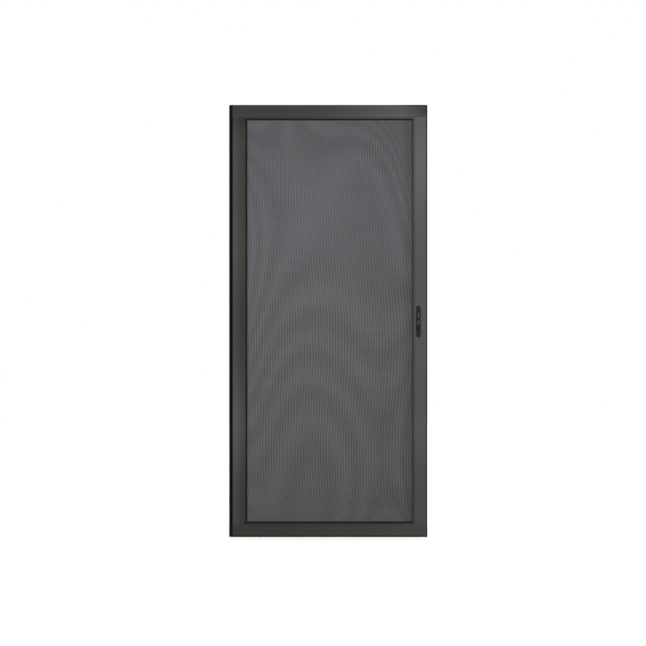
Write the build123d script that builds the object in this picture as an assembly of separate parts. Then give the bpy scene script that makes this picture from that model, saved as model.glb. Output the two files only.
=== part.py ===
# Sliding patio screen door: an aluminium frame of four extruded members that carries a stretched
# insect screen, with a roller near each corner, black guards on the two leading corners, a slim
# pull on both faces, a thumb-worked hook latch in the lock stile and a pile seal down the other.
#
# Frame of reference, in millimetres: +X runs from the trailing stile to the lock stile, +Y from the
# outdoor face to the indoor face, +Z up. The origin is on the underside of the bottom rail, at the
# middle of its length and thickness.
import os
from math import cos, degrees, radians, sin

from build123d import *

# Overall frame
door_width = 921.0
door_height = 2032.0
frame_depth = 25.0
wall = 1.4

# Extruded member, across its face from the outer edge inward
tongue_reach = 5.5          # stepped-in outer edge that enters the track or the jamb channel
tongue_depth = 16.0
body_width = 57.0           # outer edge to the end of the hollow body
shelf_reach = 9.5           # flat shelf between the body and the spline groove
shelf_drop = 1.5            # the shelf sits below the face by this much
groove_width = 7.0
groove_depth = 6.0
lip_drop = 0.5              # the lip under the screen is lower than the shelf by this much
edge_round = 2.0            # long outer edges of the body
tongue_round = 1.0
inner_edge_round = 0.8      # edge of the face beside the shelf

# Screen and the vinyl spline that holds it in the groove
screen_thickness = 0.5
spline_crown = 1.4          # height of the spline's rounded top above its straight sides
spline_below_shelf = 0.6

# Mouldings that close the ends of the rails
cap_flange = 5.5
cap_plug_depth = 18.0
cap_clearance = 0.3
adjuster_hole_radius = 4.0
adjuster_height = 20.0      # height of the adjuster hole above the rail's outer edge
guard_reach = 90.0          # the guard runs this far along the rail's edge from the lock side

# Rollers
wheel_radius = 12.0
wheel_width = 6.0
wheel_protrusion = 1.0      # the tread stands out of the rail by this much, adjusters let in
wheel_from_end = 53.0
pin_radius = 2.0
wheel_side_gap = 0.7
wheel_tread_gap = 1.5
slot_end_gap = 1.5
housing_length = 54.0
housing_height = 36.0
housing_seat = 3.0          # thickness of the flange that rests on the step in the rail
housing_cheek = 3.0
housing_corner = 8.0

# Seal down the trailing stile
carrier_reach = 4.5
carrier_depth = 9.0
carrier_wall = 1.2
carrier_mouth = 3.4
pile_reach = 7.0
pile_backing = 1.0

# Pull plates, one on each face of the lock stile
pull_height = 1013.0        # middle of the plates above the bottom of the door
pull_from_edge = 42.0       # middle of the plates from the outer edge of the lock stile
plate_length = 150.0
plate_width = 22.0
plate_thickness = 4.5
plate_chamfer = 1.2
screw_inset = 9.5           # screw centre from the end of the plate
screw_hole_radius = 1.8
screw_sink_radius = 3.6
grip_from_bottom = 52.0     # lower end of the raised grip from the lower end of the plate
grip_from_top = 25.0
grip_width = 11.0
grip_stand = 12.0           # height of the grip above its plate
grip_slope = 8.0            # length of the slope at each end of the grip
grip_dip = 3.0              # depth of the saddle between the two pads
grip_dip_floor = 6.0        # length of the saddle's floor
grip_dip_slope = 4.0
grip_bend = 3.0
grip_chamfer = 2.2

# Thumb piece, riding in a tray sunk in each plate
thumb_from_end = 26.0       # thumb piece from the lower end of the plate, hook drawn in
thumb_travel = 14.0
thumb_width = 16.0
thumb_height = 18.0
thumb_proud = 3.0           # its top stands above the plate by this much
thumb_corner = 3.0
thumb_chamfer = 1.0
thumb_gap = 0.5             # running gap of the thumb piece, all round and above the tray
tray_depth = 3.0
rib_count = 3
rib_pitch = 4.6
rib_radius = 0.9
rib_length = 11.0

# Slide of the latch
stem_width = 7.0
stem_height = 11.0
stem_gap = 0.7
slide_plate_offset = 2.2    # near side of the slide's plate from the door's middle plane
slide_plate_thickness = 2.5
fork_prong = 3.0
fork_pin_gap = 0.6
fork_end_gap = 1.5
shield_margin = 1.0         # the slide's dust shield overlaps the stem's slot by this much all round

# Hook of the latch
hook_swing = 90.0           # degrees from drawn in to thrown
hook_thickness = 3.0
hook_pivot_from_edge = 15.0
hook_pivot_above_thumb = 11.0
hook_arm_width = 9.0
hook_arm_length = 28.0
hook_beak_reach = 12.5
hook_beak_thickness = 8.0
hook_tip_round = 2.5
hook_pin_radius = 2.0
tail_radius = 3.8
pivot_radius = 2.5
pivot_running_gap = 0.08

# Case and faceplate of the latch
case_wall = 1.2
case_depth = 12.4
case_below_pivot = 34.0
case_above_pivot = 38.0
case_from_edge = 52.0       # back of the case from the outer edge of the stile
faceplate_overlap = 11.0    # the faceplate runs past the case by this much at each end
faceplate_width = 13.0
faceplate_screw_radius = 2.0
hook_slot_width = 5.0
hook_slot_below = 9.0
hook_slot_above = 34.0

# Places worked out from the sizes above
half_width = door_width / 2
half_depth = frame_depth / 2
half_tongue = tongue_depth / 2
shelf_face = shelf_drop - half_depth
lip_face = shelf_face + lip_drop
groove_start = body_width + shelf_reach
groove_end = groove_start + groove_width
groove_floor = shelf_face + groove_depth
channel_end = groove_end + wall
channel_back = groove_floor + wall
opening_half_width = half_width - body_width
opening_half_height = door_height / 2 - body_width
rail_half_length = half_width - cap_flange

wheel_x = half_width - wheel_from_end
wheel_z = wheel_radius - wheel_protrusion
wheel_slot_half = wheel_width / 2 + wheel_side_gap

pull_x = half_width - pull_from_edge
thumb_z = pull_height - plate_length / 2 + thumb_from_end
stem_reach = half_depth + plate_thickness - tray_depth + thumb_gap
pivot_x = half_width - hook_pivot_from_edge
pivot_z = thumb_z + hook_pivot_above_thumb
tail_reach = thumb_travel / (2 * sin(radians(hook_swing / 2)))
stem_slot_low = thumb_z - stem_height / 2 - stem_gap
stem_slot_high = thumb_z + stem_height / 2 + thumb_travel + stem_gap
case_low = pivot_z - case_below_pivot
case_high = pivot_z + case_above_pivot

# A member's section is drawn with +x inward from its outer edge and +y towards the indoor face, and
# runs along +z. These planes set that section on the bottom rail and on the trailing stile.
bottom_rail_plane = Plane(origin=(0, 0, 0), x_dir=(0, 0, 1), z_dir=(-1, 0, 0))
trailing_stile_plane = Plane(origin=(-half_width, 0, door_height / 2), x_dir=(1, 0, 0), z_dir=(0, 0, 1))


def box_between(x0, x1, y0, y1, z0, z1):
    """A block given by its two faces along each axis."""
    return Pos((x0 + x1) / 2, (y0 + y1) / 2, (z0 + z1) / 2) * Box(x1 - x0, y1 - y0, z1 - z0)


def rectangle_between(x0, x1, y0, y1):
    return Pos((x0 + x1) / 2, (y0 + y1) / 2) * Rectangle(x1 - x0, y1 - y0)


def to_top(shape):
    """The same piece for the top rail."""
    return mirror(shape, about=Plane.XY.offset(door_height / 2))


def to_other_stile(shape):
    """The same piece for the stile on the other side."""
    return mirror(shape, about=Plane.YZ)


def stepped_outline(inset):
    """The hollow body in section, with its stepped-in tongue, moved in all round by inset."""
    tongue = half_tongue - inset
    body = half_depth - inset
    step = tongue_reach + inset
    inner = body_width - inset
    corners = [
        (inset, -tongue), (step, -tongue), (step, -body), (inner, -body),
        (inner, body), (step, body), (step, tongue), (inset, tongue),
    ]
    return make_face(Polyline(*corners, close=True))


def rounded_outline():
    """The outline of the body with its long edges rounded, as the die rounds them."""
    outline = stepped_outline(0)
    face_edges = [v for v in outline.vertices() if abs(v.Y) > half_tongue + wall]
    beside_shelf = [v for v in face_edges if v.X > body_width - wall and v.Y < 0]
    outer = [v for v in face_edges if v not in beside_shelf]
    outline = fillet(outer, edge_round)
    outline = fillet([v for v in outline.vertices() if v.X < wall], tongue_round)
    front_inner = outline.vertices().group_by(Axis.X)[-1].sort_by(Axis.Y)[0]
    return fillet(front_inner, inner_edge_round)


def body_section():
    return rounded_outline() - stepped_outline(wall)


def channel_section():
    """The shelf, the spline groove and the lip under the screen, in section."""
    root = body_width - wall
    shelf = rectangle_between(root, groove_start, shelf_face, shelf_face + wall)
    near_side = rectangle_between(groove_start - wall, groove_start, shelf_face, channel_back)
    floor = rectangle_between(root, channel_end, groove_floor, channel_back)
    lip = rectangle_between(groove_end, channel_end, lip_face, channel_back)
    return shelf + near_side + floor + lip


def between_mitres(strip, opening_half, near, far):
    """The part of a strip, from near to far inward, that is left by its two 45 degree ends."""
    long_half = opening_half - (near - body_width)
    short_half = opening_half - (far - body_width)
    corners = [(near, -long_half), (far, -short_half), (far, short_half), (near, long_half)]
    keep = extrude(Plane.XZ * make_face(Polyline(*corners, close=True)), frame_depth, both=True)
    return strip & keep


def member(body_half, opening_half):
    """A frame member: its body is cut square, and its channel meets its neighbours in mitres."""
    body = extrude(body_section(), body_half, both=True)
    channel = extrude(channel_section(), opening_half, both=True)
    return body + between_mitres(channel, opening_half, body_width - wall, channel_end)


def bottom_rail():
    """The rail that runs under both stiles, slotted for its rollers and notched for the guard."""
    rail = bottom_rail_plane * member(rail_half_length, opening_half_width)
    notch = box_between(
        half_width - guard_reach, half_width, -half_depth, half_depth, -tongue_reach, tongue_reach
    )
    return rail - notch - wheel_slot(-wheel_x, wall)


def wheel_slot(x, through):
    """The slot that a wheel needs through a wall of the given thickness at the rail's edge."""
    chord_half = (wheel_radius**2 - (wheel_z - through) ** 2) ** 0.5
    reach = chord_half + slot_end_gap
    return box_between(x - reach, x + reach, -wheel_slot_half, wheel_slot_half, -through, through)


def trailing_stile():
    return trailing_stile_plane * member(opening_half_height, opening_half_height)


def lock_stile():
    """The stile with the latch: slotted for the thumb pieces, and cut for the faceplate."""
    seat = faceplate_block(half_width - wall, half_width + wall)
    return to_other_stile(trailing_stile()) - stem_slot(-frame_depth, frame_depth) - seat


def rail_plug(end):
    """What the two kinds of end moulding share: a flange and a plug, bored for the adjuster."""
    plane = Plane(origin=(rail_half_length, 0, 0), x_dir=(0, 0, 1), z_dir=(-1, 0, 0))
    flange = extrude(plane * rounded_outline(), -cap_flange)
    plug = extrude(plane * stepped_outline(wall + cap_clearance), cap_plug_depth)
    if end > 0:
        # The rail is notched here, so the plug keeps clear of the guard's place.
        plug = plug - box_between(0, rail_half_length, -half_depth, half_depth, 0, tongue_reach + wall)
    bore_length = 2 * (cap_flange + cap_plug_depth)
    bore = Pos(rail_half_length, 0, adjuster_height) * Rot(0, 90, 0) * Cylinder(adjuster_hole_radius, bore_length)
    return flange + plug - bore


def end_cap():
    """The plain moulding at the trailing end of the bottom rail, behind the seal."""
    return to_other_stile(rail_plug(-1))


def corner_guard():
    """The moulding at the leading end of the bottom rail, with a nose that stands for its tongue."""
    plane = Plane(origin=(rail_half_length, 0, 0), x_dir=(0, 0, 1), z_dir=(-1, 0, 0))
    nose_section = rounded_outline() & rectangle_between(0, tongue_reach, -half_tongue, half_tongue)
    nose = extrude(plane * nose_section, guard_reach - cap_flange)
    return rail_plug(1) + nose - wheel_slot(wheel_x, tongue_reach)


def spline_section():
    """The spline: straight sides that grip the groove, and a rounded crown."""
    crown = shelf_face + spline_below_shelf
    shoulder = crown + spline_crown
    start, end = (groove_start, shoulder), (groove_end, shoulder)
    middle = ((groove_start + groove_end) / 2, crown)
    sides = Polyline(end, (groove_end, groove_floor), (groove_start, groove_floor), start)
    return make_face(ThreePointArc(start, middle, end) + sides)


def spline(opening_half):
    """A length of spline, mitred to meet its neighbours, drawn as its member is."""
    cord = extrude(spline_section(), opening_half, both=True)
    return between_mitres(cord, opening_half, groove_start, groove_end)


def insect_screen():
    """The screen, flat and taut on the lips, out to the inner side of the spline."""
    half = half_width - groove_end
    return box_between(
        -half, half, lip_face - screen_thickness, lip_face, groove_end, door_height - groove_end
    )


def roller():
    """A wheel of the bottom rail at the lock side, on the pin of its housing."""
    wheel = Cylinder(wheel_radius, wheel_width) - Cylinder(pin_radius, wheel_width)
    return Pos(wheel_x, 0, wheel_z) * Rot(90, 0, 0) * wheel


def roller_housing():
    """A moulded housing: two cheeks joined by the wheel's pin, on a flange that rests on the rail's step."""
    cheek = wheel_slot_half + housing_cheek
    flange = half_depth - wall - cap_clearance
    base = tongue_reach + wall
    half = housing_length / 2
    body = box_between(-half, half, -cheek, cheek, base, housing_height)
    body = chamfer(body.edges().filter_by(Axis.Y).group_by(Axis.Z)[-1], housing_corner)
    seat = box_between(-half, half, -flange, flange, base, base + housing_seat)
    well_radius = wheel_radius + wheel_tread_gap
    well = Pos(0, 0, wheel_z) * Rot(90, 0, 0) * Cylinder(well_radius, 2 * wheel_slot_half)
    mouth = box_between(-well_radius, well_radius, -wheel_slot_half, wheel_slot_half, 0, wheel_z)
    pin = Pos(0, 0, wheel_z) * Rot(90, 0, 0) * Cylinder(pin_radius, 2 * wheel_slot_half)
    return Pos(wheel_x, 0, 0) * (body + seat - well - mouth + pin)


def seal_carrier():
    """A vinyl extrusion: a channel that holds the pile, on a clip pushed over the trailing stile's tongue."""
    near = -half_width
    far = near - carrier_reach
    web = near - carrier_wall
    half = carrier_depth / 2
    inner_half = half - carrier_wall
    lips = far + carrier_wall
    block = box_between(far, near, -half, half, 0, door_height)
    hollow = box_between(lips, web, -inner_half, inner_half, 0, door_height)
    mouth = box_between(far, lips, -carrier_mouth / 2, carrier_mouth / 2, 0, door_height)
    clip_half = half_tongue + carrier_wall
    clip_end = near + tongue_reach - cap_clearance
    clip_low = body_width + cap_clearance
    clip_high = door_height - clip_low
    clip = box_between(web, clip_end, -clip_half, clip_half, clip_low, clip_high)
    gripped = box_between(near, clip_end, -half_tongue, half_tongue, clip_low, clip_high)
    return block - hollow - mouth + (clip - gripped)


def seal_pile():
    """The pile: a woven backing inside the carrier, and the brush that stands out of its mouth."""
    floor = -half_width - carrier_wall
    tip = -half_width - carrier_reach - pile_reach
    inner_half = carrier_depth / 2 - carrier_wall
    backing = box_between(floor - pile_backing, floor, -inner_half, inner_half, 0, door_height)
    brush = box_between(tip, floor, -carrier_mouth / 2, carrier_mouth / 2, 0, door_height)
    return backing + brush


def stem_slot(y0, y1):
    """The way that the slide's stem needs through a plate or a wall, over its travel."""
    half = stem_width / 2 + stem_gap
    return box_between(pull_x - half, pull_x + half, y0, y1, stem_slot_low, stem_slot_high)


def on_face(shape, face):
    """Set a piece drawn flat, its length along +y, on the outdoor face at -1 or the indoor at +1."""
    standing = Rot(90, 0, 0) * shape
    if face > 0:
        standing = Rot(0, 0, 180) * standing
    return Pos(pull_x, face * half_depth, pull_height) * standing


def grip():
    """The raised grip, drawn flat: two pads with a saddle between them, sloped at both ends."""
    start = grip_from_bottom - plate_length / 2
    end = plate_length / 2 - grip_from_top
    middle = (start + end) / 2
    crest = grip_stand
    saddle = grip_stand - grip_dip
    floor_half = grip_dip_floor / 2
    dip_half = floor_half + grip_dip_slope
    outline = [
        (start, 0), (start + grip_slope, crest), (middle - dip_half, crest), (middle - floor_half, saddle),
        (middle + floor_half, saddle), (middle + dip_half, crest), (end - grip_slope, crest), (end, 0),
    ]
    profile = make_face(Polyline(*outline, close=True))
    profile = fillet([v for v in profile.vertices() if v.Y > saddle / 2], grip_bend)
    solid = extrude(Plane.YZ * profile, grip_width / 2, both=True)
    flanks = solid.faces().filter_by(Axis.X)
    crest_edges = [e for f in flanks for e in f.edges() if e.center().Z > saddle / 4]
    return chamfer(crest_edges, grip_chamfer)


def plate():
    """The pull plate, drawn flat: round ended, with two screw holes and a tray for the thumb piece."""
    blank = extrude(SlotOverall(plate_length, plate_width, rotation=90), plate_thickness)
    blank = chamfer(blank.edges().group_by(Axis.Z)[-1], plate_chamfer)
    sink_depth = screw_sink_radius - screw_hole_radius
    for y in (screw_inset - plate_length / 2, plate_length / 2 - screw_inset):
        hole = Pos(0, y, 0) * Cylinder(screw_hole_radius, 3 * plate_thickness)
        sink = Pos(0, y, plate_thickness - sink_depth / 2) * Cone(screw_hole_radius, screw_sink_radius, sink_depth)
        blank = blank - hole - sink
    length = thumb_height + thumb_travel + 2 * thumb_gap
    low = thumb_from_end - plate_length / 2 - thumb_height / 2 - thumb_gap
    tray = extrude(RectangleRounded(thumb_width + 2 * thumb_gap, length, thumb_corner), tray_depth)
    return blank - Pos(0, low + length / 2, plate_thickness - tray_depth) * tray


def pull(face):
    """A pull plate with its grip, on one face of the lock stile."""
    whole = plate() + Pos(0, 0, plate_thickness) * grip()
    near, far = sorted((0, face * frame_depth))
    return on_face(whole, face) - stem_slot(near, far)


def thumb_piece(face):
    """The ribbed piece that the thumb moves, on the end of the slide's stem."""
    base = plate_thickness - tray_depth + thumb_gap
    top = plate_thickness + thumb_proud
    piece = extrude(RectangleRounded(thumb_width, thumb_height, thumb_corner), top - base)
    piece = chamfer(piece.edges().group_by(Axis.Z)[-1], thumb_chamfer)
    for i in range(rib_count):
        y = (i - (rib_count - 1) / 2) * rib_pitch
        piece = piece + Pos(0, y, top - base) * Rot(0, 90, 0) * Cylinder(rib_radius, rib_length)
    return on_face(Pos(0, thumb_from_end - plate_length / 2, base) * piece, face)


def latch_slide():
    """The slide: a stem through the door, a shield behind its slot, and a fork round the hook's pin."""
    front = slide_plate_offset
    back = front + slide_plate_thickness
    fork_z = pivot_z - thumb_travel / 2
    fork_half = hook_pin_radius + fork_pin_gap
    fork_end = pivot_x - pivot_radius - fork_end_gap
    fork_root = pivot_x - tail_reach - hook_pin_radius - fork_pin_gap
    stem_low = thumb_z - stem_height / 2
    stem_half = stem_width / 2
    shield_half = stem_half + stem_gap + shield_margin
    shield_low = stem_slot_low - thumb_travel - shield_margin
    shield_high = stem_slot_high + shield_margin
    shield = box_between(pull_x - shield_half, pull_x + shield_half, front, back, shield_low, shield_high)
    low = fork_z - fork_half - fork_prong
    high = fork_z + fork_half + fork_prong
    flat = box_between(pull_x, fork_end, front, back, low, high)
    fork = box_between(fork_root, fork_end, front, back, fork_z - fork_half, fork_z + fork_half)
    stem = box_between(
        pull_x - stem_half, pull_x + stem_half, -stem_reach, stem_reach, stem_low, stem_low + stem_height
    )
    return shield + flat - fork + stem


def latch_hook():
    """The hook, drawn in: its arm stands up from the pivot with the beak outward, its tail down and back."""
    arm_half = hook_arm_width / 2
    arm = rectangle_between(-arm_half, arm_half, 0, hook_arm_length)
    beak = rectangle_between(-arm_half, hook_beak_reach, hook_arm_length - hook_beak_thickness, hook_arm_length)
    eye = Circle(arm_half + 1)
    tail_angle = radians(hook_swing / 2)
    pin_x = -tail_reach * cos(tail_angle)
    pin_z = -tail_reach * sin(tail_angle)
    knuckle = Pos(pin_x, pin_z) * Circle(tail_radius)
    link = Pos(pin_x / 2, pin_z / 2) * Rot(0, 0, degrees(tail_angle)) * Rectangle(tail_reach, 2 * tail_radius)
    outline = arm + beak + eye + knuckle + link
    outline = fillet(outline.vertices().sort_by(Axis.Y)[-2:], hook_tip_round)
    flat = outline - Circle(pivot_radius + pivot_running_gap)
    # The outline is drawn with +y up; here it stands in the door's middle plane.
    blade = Rot(90, 0, 0) * extrude(flat, hook_thickness / 2, both=True)
    pin_front = -hook_thickness / 2
    pin_back = slide_plate_offset + slide_plate_thickness
    pin = Cylinder(hook_pin_radius, pin_back - pin_front)
    pin = Pos(pin_x, (pin_front + pin_back) / 2, pin_z) * Rot(90, 0, 0) * pin
    return Pos(pivot_x, 0, pivot_z) * (blade + pin)


def hook_pivot():
    """The rivet that the hook turns on, held in both sides of the case."""
    return Pos(pivot_x, 0, pivot_z) * Rot(90, 0, 0) * Cylinder(pivot_radius, case_depth)


def latch_case():
    """The folded steel case in the stile: closed on five sides, open towards its faceplate."""
    back = half_width - case_from_edge
    front = half_width - wall
    half = case_depth / 2
    inner_half = half - case_wall
    outside = box_between(back, front, -half, half, case_low, case_high)
    inside = box_between(
        back + case_wall, front, -inner_half, inner_half, case_low + case_wall, case_high - case_wall
    )
    rivet = Pos(pivot_x, 0, pivot_z) * Rot(90, 0, 0) * Cylinder(pivot_radius, frame_depth)
    return outside - inside - stem_slot(-half_depth, half_depth) - rivet


def faceplate_block(x0, x1):
    """The faceplate's outline over a range of x, also used to cut its seat."""
    low, high = case_low - faceplate_overlap, case_high + faceplate_overlap
    return box_between(x0, x1, -faceplate_width / 2, faceplate_width / 2, low, high)


def latch_faceplate():
    """The plate let into the stile's edge, with the slot that the hook swings out of."""
    half = hook_slot_width / 2
    slot = box_between(
        half_width - wall, half_width, -half, half, pivot_z - hook_slot_below, pivot_z + hook_slot_above
    )
    plate_blank = faceplate_block(half_width - wall, half_width) - slot
    for z in (case_low - faceplate_overlap / 2, case_high + faceplate_overlap / 2):
        plate_blank = plate_blank - Pos(half_width, 0, z) * Rot(0, 90, 0) * Cylinder(faceplate_screw_radius, 4 * wall)
    return plate_blank


def build():
    """Every node of the door, by name."""
    lower_rail = bottom_rail()
    side_spline = trailing_stile_plane * spline(opening_half_height)
    lower_spline = bottom_rail_plane * spline(opening_half_width)
    nodes = {
        "lock_stile": lock_stile(),
        "trailing_stile": trailing_stile(),
        "top_rail": to_top(lower_rail),
        "bottom_rail": lower_rail,
        "insect_screen": insect_screen(),
        "spline_lock_side": to_other_stile(side_spline),
        "spline_trailing_side": side_spline,
        "spline_top": to_top(lower_spline),
        "spline_bottom": lower_spline,
        "seal_carrier": seal_carrier(),
        "seal_pile": seal_pile(),
        "pull_outdoor": pull(-1),
        "pull_indoor": pull(1),
        "thumb_outdoor": thumb_piece(-1),
        "thumb_indoor": thumb_piece(1),
        "latch_slide": latch_slide(),
        "latch_hook": latch_hook(),
        "hook_pivot": hook_pivot(),
        "latch_case": latch_case(),
        "latch_faceplate": latch_faceplate(),
        "bottom_end_cap": end_cap(),
        "top_end_cap": to_top(end_cap()),
        "bottom_corner_guard": corner_guard(),
        "top_corner_guard": to_top(corner_guard()),
    }
    for kind, piece in {"roller": roller(), "roller_housing": roller_housing()}.items():
        nodes[f"bottom_lock_side_{kind}"] = piece
        nodes[f"bottom_trailing_side_{kind}"] = to_other_stile(piece)
        nodes[f"top_lock_side_{kind}"] = to_top(piece)
        nodes[f"top_trailing_side_{kind}"] = to_top(to_other_stile(piece))
    return nodes


os.makedirs("parts", exist_ok=True)
for name, shape in build().items():
    export_step(shape, f"parts/{name}.step")
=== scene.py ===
# %% [markdown]
# # A sliding patio screen door, dressed for a studio picture
# The panel is a slim frame of dark bronze aluminium with a woven screen held taut in it, a black
# pull on both faces and a brush seal down one side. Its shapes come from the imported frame, in
# metres, with +Y pointing indoors. This script adds what solids alone don't show: the threads of
# the screen, the bristles of the seal, the screws, the finish of each material, the light and the
# camera.

import bpy
import numpy as np
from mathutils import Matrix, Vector


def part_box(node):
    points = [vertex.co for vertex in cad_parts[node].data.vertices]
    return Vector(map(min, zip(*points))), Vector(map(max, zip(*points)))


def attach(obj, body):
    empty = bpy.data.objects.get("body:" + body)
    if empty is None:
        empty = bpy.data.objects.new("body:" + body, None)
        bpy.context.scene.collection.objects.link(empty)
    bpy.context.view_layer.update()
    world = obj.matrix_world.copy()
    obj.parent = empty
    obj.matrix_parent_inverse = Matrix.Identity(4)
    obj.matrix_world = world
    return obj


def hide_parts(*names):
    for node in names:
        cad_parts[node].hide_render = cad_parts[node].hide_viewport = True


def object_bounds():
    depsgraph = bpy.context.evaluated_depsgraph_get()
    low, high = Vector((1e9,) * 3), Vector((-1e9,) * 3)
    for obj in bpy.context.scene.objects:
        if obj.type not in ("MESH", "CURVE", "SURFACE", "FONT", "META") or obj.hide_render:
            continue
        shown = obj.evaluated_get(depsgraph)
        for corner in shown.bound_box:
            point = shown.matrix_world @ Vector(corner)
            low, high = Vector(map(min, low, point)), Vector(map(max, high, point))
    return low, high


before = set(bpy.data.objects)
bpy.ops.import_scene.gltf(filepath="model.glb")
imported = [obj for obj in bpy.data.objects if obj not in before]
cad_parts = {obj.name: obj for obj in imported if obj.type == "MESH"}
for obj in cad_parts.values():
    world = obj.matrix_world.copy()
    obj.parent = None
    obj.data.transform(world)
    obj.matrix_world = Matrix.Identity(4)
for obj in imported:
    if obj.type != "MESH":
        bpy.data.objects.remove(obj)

cad_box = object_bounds()
print("solids reach", [round(c, 4) for corner in cad_box for c in corner])

# %% [markdown]
# Colours are written as they look on a screen, in hex. Blender's shaders work with amounts of
# light, so one function turns each written colour into those amounts.

# %% Colour and length helpers
MM = 0.001


def tone(hex_colour):
    """An sRGB hex colour as linear red, green, blue and alpha.

    Each channel c from 0 to 1 becomes c / 12.92 where it is dark, and ((c + 0.055) / 1.055) to the
    power 2.4 elsewhere.
    """
    written = np.array([int(hex_colour[i:i + 2], 16) for i in (1, 3, 5)]) / 255
    linear = np.where(written <= 0.04045, written / 12.92, ((written + 0.055) / 1.055) ** 2.4)
    return (*linear.tolist(), 1.0)


print("a mid grey is", round(tone("#808080")[0], 3), "as light")

# %% [markdown]
# A material is a small graph of nodes. It could be wired by hand in the editor; here one helper
# adds a node with its settings and links, so that each finish below reads as a short list.

# %% Material helpers


def add(tree, kind, inputs=None, **settings):
    """Add a node. settings are its properties; inputs are its sockets, each a value or a socket."""
    node = tree.nodes.new("ShaderNode" + kind)
    for name, value in settings.items():
        setattr(node, name, value)
    for socket, value in (inputs or {}).items():
        if isinstance(value, bpy.types.NodeSocket):
            tree.links.new(value, node.inputs[socket])
        else:
            node.inputs[socket].default_value = value
    return node


def start_material(name, **shader):
    """A material with one Principled shader. shader gives its sockets, with _ for a space."""
    material = bpy.data.materials.new(name)
    material.use_nodes = True
    tree = material.node_tree
    bsdf = tree.nodes["Principled BSDF"]
    for socket, value in shader.items():
        bsdf.inputs[socket.replace("_", " ")].default_value = value
    place = add(tree, "TexCoord").outputs["Object"]
    return material, tree, bsdf, place


def dress(material, *nodes):
    """Give CAD nodes a material through their objects' slots."""
    for name in nodes:
        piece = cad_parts[name]
        if not piece.material_slots:
            piece.data.materials.append(material)
        for slot in piece.material_slots:
            slot.material = material
    print(material.name, "on", len(nodes), "pieces")


print(len(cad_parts), "solids to dress")

# %% [markdown]
# ## The aluminium
# The four members are extruded aluminium, anodised to a dark bronze. The die leaves fine straight
# lines along each length, and the satin etch before anodising softens them. So light spreads
# further across the lines than along them: a lamp's reflection is a wide bar across a stile and a
# short patch along it. A plain grey metal would look like painted card; the lines, the stretched
# reflection and a slow change of tone make it read as anodised metal.

# %% Where a point lies on a member
DOOR_MIDDLE = (0.0, 0.0, 1.016)   # of the four members' outer edges, in metres
DOOR_HALF = (0.4605, 0.0, 1.016)
DIE_LINE_WIDTH, DIE_LINE_LENGTH = 1.5 * MM, 1.2


def depth_in(tree, coordinate, axis):
    """How far in a point is from the door's outer edge: half the size - |coordinate - middle|."""
    from_middle = add(
        tree, "Math", {0: coordinate, 1: DOOR_MIDDLE[axis]}, operation="SUBTRACT"
    ).outputs[0]
    reach = add(tree, "Math", {0: from_middle}, operation="ABSOLUTE").outputs[0]
    return add(tree, "Math", {0: DOOR_HALF[axis], 1: reach}, operation="SUBTRACT").outputs[0]


def die_lines(tree, place, along):
    """Noise drawn out into lines along one axis, 0 for X or 2 for Z.

    Real die lines are near 0.2 mm wide, too fine to show, so these are drawn coarser: the noise
    reads distance / 1.5 mm across the member and distance / 1.2 m along it.
    """
    scale = [1 / DIE_LINE_WIDTH] * 3
    scale[along] = 1 / DIE_LINE_LENGTH
    drawn = add(tree, "Mapping", {"Vector": place, "Scale": scale}).outputs[0]
    return add(tree, "TexNoise", {"Vector": drawn, "Scale": 1.0, "Detail": 3.0}).outputs["Fac"]


print("the door is", 2 * DOOR_HALF[0], "by", 2 * DOOR_HALF[2], "m between its outer edges")

# %% Tone of a member
CROWN_SPAN = 80 * MM             # how far in from the outer edge the shares are listed
TONGUE_WIDTH, TONGUE_SHADE = 5.4 * MM, "#0c0c0b"
DRIFT_SIZE = 0.4


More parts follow.
